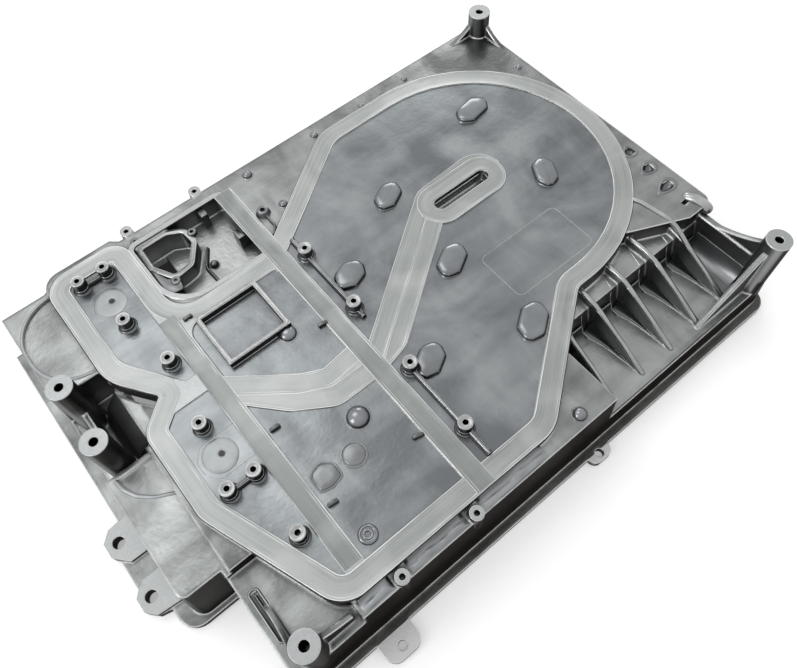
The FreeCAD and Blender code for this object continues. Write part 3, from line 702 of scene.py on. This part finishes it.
TABS = [(29.4, 308.9, 0), (102.4, 239.9, -6), (29.9, 196.3, -2), (100, 129.9, -14), (29.6, 130.3, -6)]
TAB_CORNERS = [(-3.8, -1.4), (3.8, -1.4), (3.8, 1.4), (-3.8, 1.4)]
TAB_RINGS = [(1.1, -0.3), (1.05, 0.6), (0.95, 2.6), (0.7, 3.0)]
for number, (x, y, turn) in enumerate(TABS, start=1):
    shape = [(*swung(x, y, u, v, turn), 0.9) for u, v in TAB_CORNERS]
    crowned(f"tab_{number}", shape, FLOOR, TAB_RINGS, flare_metal)
SCRIBED = [(227, 164, 5), (304, 164, 5), (304, 208, 5), (227, 208, 5)]
sweep("scribed_rectangle", SCRIBED, scribe, FLOOR, scribe_metal)


# Strip stud with its hook rib

STRIP_POST = [(0, -0.4), (6.4, -0.4), (6.0, 0.2), (4.9, 1.0), (4.5, 4.2), (4.0, 4.6), (2.2, 4.6), (1.9, 4.2),
              (1.9, 2.0), (0, 2.0)]
turned("strip_post", 126.6, 353.6, STRIP, STRIP_POST, fillet_metal)
HOOK = [(126.6, 349.5, 0), (126.6, 336, 7), (120.5, 330, 0)]
sweep("hook_rib", HOOK, ridge_profile(2.6, 2.6), STRIP, fillet_metal, closed=False)


# Gusset ribs: rounded crests, broad flares on their left and fillets on their right

RIB_COUNT = 5
FIRST_RIB = 236.6         # plan x of the middle of the first rib
RIB_PITCH = 31.8
RIB_HALF = 1.9            # from a rib's middle to where its fillets are rooted
FLARE_WIDTH = 9.5
BENCH_FOOT = 124.6        # plan y of the wall below the bench
# along a rib: plan y, and the share of its full width that a flare has there
FLARE_SHARES = [(72, 0.03), (80, 0.06), (90, 0.14), (100, 0.27), (109, 0.45), (117, 0.72), (123.5, 1.0)]


def flare(name, x, side, width, height):
    """A concave fillet between a rib's side and the shelf, widest at the bench."""
    mesh = bmesh.new()
    rows = []
    for y, share in FLARE_SHARES:
        section = [(0, -0.4)]
        for step in range(8):
            angle = math.pi / 2 * step / 7
            section.append((width * share * (1 - math.sin(angle)), height * share * (1 - math.cos(angle))))
        root = x + side * RIB_HALF
        ring = [mesh.verts.new(at(root + side * u, y, SHELF - 0.03 + v)) for u, v in section]
        rows.append(ring)
    bridge(mesh, rows)
    close_ends(mesh, rows)
    return finish_piece(name, mesh, flare_metal)


def cove(name, start, end, width, height, low, material):
    """A concave fillet at the foot of a wall that runs from start to end, on the left of that line."""
    first, last = Vector(start), Vector(end)
    ahead = (last - first).normalized()
    out = Vector((-ahead.y, ahead.x))
    section = [(-1.0, -0.4), (width, -0.4)]
    for step in range(9):
        angle = math.pi / 2 * step / 8
        section.append((width * (1 - math.sin(angle)), height * (1 - math.cos(angle))))
    section.append((-1.0, height))
    mesh = bmesh.new()
    rows = []
    for step in range(7):
        place = first.lerp(last, step / 6)
        rows.append([mesh.verts.new(at(*(place + out * u), low + v)) for u, v in section])
    bridge(mesh, rows)
    close_ends(mesh, rows)
    return finish_piece(name, mesh, material)


for number in range(1, RIB_COUNT + 1):
    x = FIRST_RIB + RIB_PITCH * (number - 1)
    crest = [(x, 71.5, SHELF - 0.6), (x, 96, 44.4), (x, 118, 55.3)]
    if number < RIB_COUNT:
        crest += [(x, 126, 58.8), (x, 134, 60.5), (x, 150, 60.8)]
    else:
        crest += [(x, 126, 60.5), (x, 134, 65.2), (x - 0.8, 141, 67.8)]
        crest += [(x - 5, 166, 68.3), (x - 7.2, 171, 68.2)]
    bead(f"rib_crest_{number}", crest, 2.2, crest_metal, 12)
    flare(f"rib_flare_{number}", x, -1, FLARE_WIDTH, 15.0)
    flare(f"rib_fillet_{number}", x, 1, 4.0, 5.0)
    # a bright bead along each flare's foot, a painted highlight line
    foot = [(x - RIB_HALF - FLARE_WIDTH * share, y, SHELF + 0.1) for y, share in FLARE_SHARES[1:]]
    foot[-1] = (x - 10.6, 123.0, SHELF + 4)
    foot += [(x - 10.2, 127.4, 45), (x - 8.6, 130.6, BENCH), (x - 3.6, 148.4, BENCH + 0.1)]
    bead(f"rib_highlight_line_{number}", foot, 0.55, highlight_line_metal, 8)
    if number < RIB_COUNT:
        start, end = (x + 20.5, BENCH_FOOT), (x + 2, BENCH_FOOT)
        cove(f"bay_cove_{number}", start, end, 11.0, 12.0, SHELF, fillet_metal)
cove("bay_cove_right", (386.5, BENCH_FOOT), (365.8, BENCH_FOOT), 10.0, 11.0, SHELF, fillet_metal)
cove("wall_cove", (387.9, 79.0), (387.9, BENCH_FOOT), 10.0, 15.0, SHELF, sheen_metal)


# Teardrop dishes and the hump of the right-hand strip, and the bar in the near-left groove

# rings of a dish: share of its outline, and height
DISH_RINGS = [(1.62, -0.2), (1.55, 0.2), (1.4, 0.6), (1.2, 0.85), (1.06, 0.6), (0.97, -0.4), (0.82, -1.9),
              (0.55, -3.1), (0.2, -3.5)]


def dish(name, x, y, length, width, turn, level, pieces=28):
    """A rounded sink with a soft raised lip, drawn in from a tapered oval outline."""
    mesh = bmesh.new()
    rings = []
    for share, z in DISH_RINGS:
        ring = []
        for k in range(pieces):
            angle = 2 * math.pi * k / pieces
            taper = 1 - 0.35 * math.cos(angle)
            u = length / 2 * math.cos(angle) * share
            v = width / 2 * math.sin(angle) * share * taper
            ring.append(mesh.verts.new(at(*swung(x, y, u, v, turn), level + z)))
        rings.append(ring)
    bridge(mesh, rings)
    mesh.faces.new(rings[-1])
    return finish_piece(name, mesh, fillet_metal)


dish("dish_1", 391.3, 207, 8.6, 8.0, 80, STRIP)
dish("dish_2", 388.8, 185, 11.0, 8.0, 186, STRIP)
dish("dish_3", 385.5, 163.3, 13.5, 8.0, 186, STRIP)
bead("corner_hump", [(391, 146, 66.5), (393, 140, 67.5), (394.5, 133, 67), (395, 129.5, 65.5)], 4.6,
     crest_metal, 14)
sweep("groove_bar", [(-42.2, 120.5, 0), (-42.2, 90.5, 0)], ridge_profile(2.4, 2.1), CORNER - 2, fillet_metal,
      closed=False)


# Rims of the shallow recesses and of the groove, and swells of the near strip

FAR_RECESS = [(-42.6, 321, 0), (-79, 321, 36.3), (-79, 401, 36.3), (-42.6, 401, 0)]
sweep("recess_rim_far", FAR_RECESS, ridge_profile(2.4, 0.5), DECK, sheen_metal, closed=False)
BOX_RECESS = [(-44.5, 207, 0), (-59, 214.5, 12), (-68, 223, 12), (-73, 233, 8), (-74, 241.5, 0)]
sweep("recess_rim_box", BOX_RECESS, ridge_profile(2.6, 0.6), BOX, sheen_metal, closed=False)
GROOVE_RIM = [(-45.6, 86.5, 3), (-38.8, 86.5, 3), (-38.8, 124.5, 3), (-45.6, 124.5, 3)]
sweep("groove_rim", GROOVE_RIM, ridge_profile(1.7, 0.9), CORNER, sheen_metal)


def cast_swell(name, low_x, high_x, low_y, high_y, level, lumps):
    """A lumpy stretch of cast surface that rises in a fillet towards its far side."""
    columns, rows = int(high_x - low_x), 14
    fillet_start = 0.55     # share of the way across at which the fillet begins
    mesh = bmesh.new()
    stations = [low_x + (high_x - low_x) * i / columns for i in range(columns + 1)]
    grid = []
    for i, x in enumerate(stations):
        line = []
        for j in range(rows + 1):
            y = low_y + (high_y - low_y) * j / rows
            rise = 17.0 * max(0.0, j / rows - fillet_start) ** 2
            for lump_x, lump_y, reach_x, reach_y, height in lumps:
                rise += height * math.exp(-((x - lump_x) / reach_x) ** 2 - ((y - lump_y) / reach_y) ** 2)
            ends = min(1.0, 12 * i / columns, 12 * (columns - i) / columns, j / 3)
            smooth = ends * ends * (3 - 2 * ends)
            rim = i in (0, columns) or j == 0
            line.append(mesh.verts.new(at(x, y, level - 0.3 if rim else level + 0.05 + rise * smooth)))
        grid.append(line)
    for a, b in zip(grid, grid[1:]):
        for j in range(rows):
            mesh.faces.new((a[j], b[j], b[j + 1], a[j + 1]))
    foot = [mesh.verts.new(at(x, high_y, level - 0.3)) for x in stations]
    for i in range(columns):
        mesh.faces.new((grid[i][rows], grid[i + 1][rows], foot[i + 1], foot[i]))
    return finish_piece(name, mesh, sheen_metal)


# low x, high x, then lumps: middle x and y, reach in x and y, height
NEAR_SWELLS = [
    (41, 90, [(58.5, 69.5, 6, 3, 2.0), (70, 68, 5, 2.5, 0.8), (82, 69, 7, 3, 1.4), (47, 68, 4, 2.5, 0.7)]),
    (101, 160, [(137, 70, 6, 3, 2.2), (112, 68.5, 9, 2.5, 0.9), (152, 69, 8, 3, 1.2), (126, 68, 5, 2, 0.5)]),
    (4, 29, [(23, 70, 6, 3.5, 2.4), (12, 68.5, 6, 3.5, 1.9)]),
]
for number, (low_x, high_x, lumps) in enumerate(NEAR_SWELLS, start=1):
    cast_swell(f"near_swell_{number}", low_x, high_x, 65.5, 74.3, DECK, lumps)


# Inside the well: the flat beside the duct, bosses with holes, low rib and clips


def block(name, outline, bottom, top, material, ease=0.6):
    """An upright block on a plan outline with eased top edges."""
    line = path(outline, step=0.3)
    centre = sum(line, Vector((0, 0))) / len(line)
    mesh = bmesh.new()
    rings = []
    for inset, height in ((0, bottom), (0, top - ease), (ease * 0.4, top - ease * 0.3), (ease, top)):
        ring = []
        for p in line:
            inward = (centre - p).normalized() * inset
            ring.append(mesh.verts.new(at(*(p + inward), height)))
        rings.append(ring)
    bridge(mesh, rings)
    close_ends(mesh, rings[::-1])
    return finish_piece(name, mesh, material)


WELL_FLAT = [(28.4, 391.8, 0), (28.4, 345, 6), (31, 337, 5), (41, 336, 2), (43, 346, 0), (35.5, 352, 0),
             (30.6, 366, 0), (31.4, 391.8, 0)]
WELL_FLAT_TOP = 66.4
WELL_ROOT = WELL - 0.2    # blocks in the well begin a little below its floor
block("well_flat", WELL_FLAT, WELL_ROOT, WELL_FLAT_TOP, fillet_metal)
HOLED = [(1.2, -3.0), (3.9, -3.0), (3.7, 0.4), (3.2, 0.8), (1.7, 0.8), (1.2, 0.2)]
WELL_BOSSES = [(33.4, 397, STRIP), (73, 376.7, 67.6), (39.8, 346, WELL_FLAT_TOP)]
for number, (x, y, level) in enumerate(WELL_BOSSES, start=1):
    turned(f"well_boss_{number}", x, y, level, HOLED, fillet_metal, 28)
WELL_RIB = [(76.5, 366, 0), (66, 350, 8), (67, 330, 0)]
sweep("well_rib", WELL_RIB, ridge_profile(3.4, 3.2), WELL, fillet_metal, closed=False)
dome("well_ball", 72.5, 349, WELL, 3.6, 5.0, fillet_metal)
CLIP_FAR = [(86.5, 392, 1), (86.5, 384, 1), (92.5, 384, 1), (92.5, 392, 1)]
CLIP_RIGHT = [(98, 357, 1), (98, 347, 1), (109.6, 347, 1), (109.6, 350, 0.5), (102.5, 350, 0.5),
              (102.5, 357, 1)]
block("well_clip_far", CLIP_FAR, WELL_ROOT, 67, fillet_metal)
block("well_clip_right", CLIP_RIGHT, WELL_ROOT, 66, fillet_metal)


# Floor, light and camera

bpy.ops.mesh.primitive_plane_add(size=8, location=(0, 0, -0.0002))
ground = bpy.context.object
ground.name = "studio_floor"
paint = Nodes("studio_floor_paint")
paint.bsdf.inputs["Roughness"].default_value = 0.95
paint.put(paint.bsdf.inputs["Base Color"], paint.mix(paint.noise(2.0), (0.88, 0.88, 0.88), (0.9, 0.9, 0.9)))
paint.bsdf.inputs["Emission Color"].default_value = (1, 1, 1, 1)


def seen(tree):
    """One for rays that come from the camera, a reflection or glass."""
    light_path = tree.nodes.new("ShaderNodeLightPath")
    total = light_path.outputs["Is Camera Ray"]
    for output in ("Is Glossy Ray", "Is Transmission Ray"):
        node = tree.nodes.new("ShaderNodeMath")
        node.operation = "MAXIMUM"
        tree.links.new(total, node.inputs[0])
        tree.links.new(light_path.outputs[output], node.inputs[1])
        total = node.outputs["Value"]
    return total


paint.put(paint.bsdf.inputs["Emission Strength"], paint.math("MULTIPLY", seen(paint.tree), 0.3))
ground.data.materials.append(paint.material)

world = bpy.data.worlds.new("studio")
bpy.context.scene.world = world
world.use_nodes = True
background = world.node_tree.nodes["Background"]
background.inputs["Color"].default_value = (1, 1, 1, 1)
strength = world.node_tree.nodes.new("ShaderNodeMapRange")
world.node_tree.links.new(seen(world.node_tree), strength.inputs["Value"])
strength.inputs["To Min"].default_value = 0.75
strength.inputs["To Max"].default_value = 1.0
world.node_tree.links.new(strength.outputs["Result"], background.inputs["Strength"])


def lamp(name, place, target, size, power):
    """A rectangular area lamp, aimed at a point."""
    data = bpy.data.lights.new(name, "AREA")
    data.shape = "RECTANGLE"
    data.size, data.size_y = size
    data.energy = power
    thing = bpy.data.objects.new(name, data)
    bpy.context.collection.objects.link(thing)
    thing.location = place
    thing.rotation_euler = (Vector(target) - Vector(place)).to_track_quat("-Z", "Y").to_euler()


lamp("key", (-0.2, 0.8, 1.5), (-0.05, 0, 0), (0.8, 0.8), 4)
lamp("side", (-1.3, 0.1, 0.9), (-0.1, 0, 0.05), (0.5, 0.8), 5)
lamp("back", (1.0, 1.2, 0.8), (0, 0, 0.05), (0.6, 0.4), 3)

# the camera's axes, place and lens, solved from straight edges of the part in the photo
camera_data = bpy.data.cameras.new("camera")
camera = bpy.data.objects.new("camera", camera_data)
bpy.context.collection.objects.link(camera)
right = Vector((0.77360674, -0.6324294, -0.03956856))
up = Vector((0.57194142, 0.67000605, 0.47325987))
back = Vector((-0.27279229, -0.38874792, 0.88003376))
aim = Matrix((right, up, back)).transposed().to_4x4()
camera.matrix_world = Matrix.Translation((-0.1495, -0.231, 0.518)) @ aim
camera_data.sensor_width = 36
camera_data.lens = 32.07
camera_data.clip_start = 0.01
camera_data.clip_end = 20
bpy.context.scene.camera = camera
bpy.context.scene.view_settings.view_transform = "Standard"
